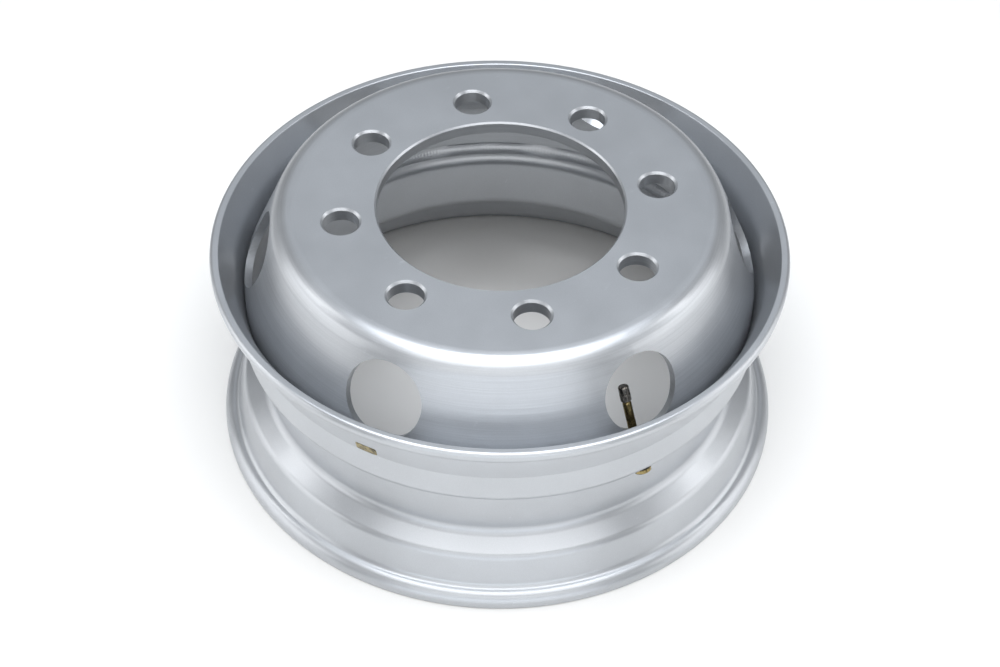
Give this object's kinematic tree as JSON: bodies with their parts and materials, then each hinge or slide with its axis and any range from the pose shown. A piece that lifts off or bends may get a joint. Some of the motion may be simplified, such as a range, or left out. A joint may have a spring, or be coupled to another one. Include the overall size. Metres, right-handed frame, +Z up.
{
  "type": "wheel rim",
  "caption": "Painted steel disc wheel with a drop-centre rim, centre bore, stud holes, hand holes and a brass tyre valve, lying on its inboard flange.",
  "frame": {"origin": "centre of the wheel, on the floor under its inboard flange", "axes": "+Z up along the wheel's axis, from the inboard flange to the disc's face; +X through the valve"},
  "size_m": [0.5206, 0.5206, 0.2467],
  "materials": {
    "wheel_paint": "silver paint, satin",
    "valve_brass": "turned, dulled",
    "valve_rubber": "moulded, matt",
    "cap_plating": "dark nickel plate, glossy"
  },
  "bodies": {
    "root": {"rim": "wheel_paint", "wheel_disc": "wheel_paint", "disc_weld": "wheel_paint", "valve_stem": "valve_brass", "valve_grommet": "valve_rubber", "valve_washer": "valve_brass", "valve_nut": "valve_brass", "valve_core": "valve_brass", "valve_cap": "cap_plating", "cap_gasket": "valve_rubber"}
  },
  "joints": []
}
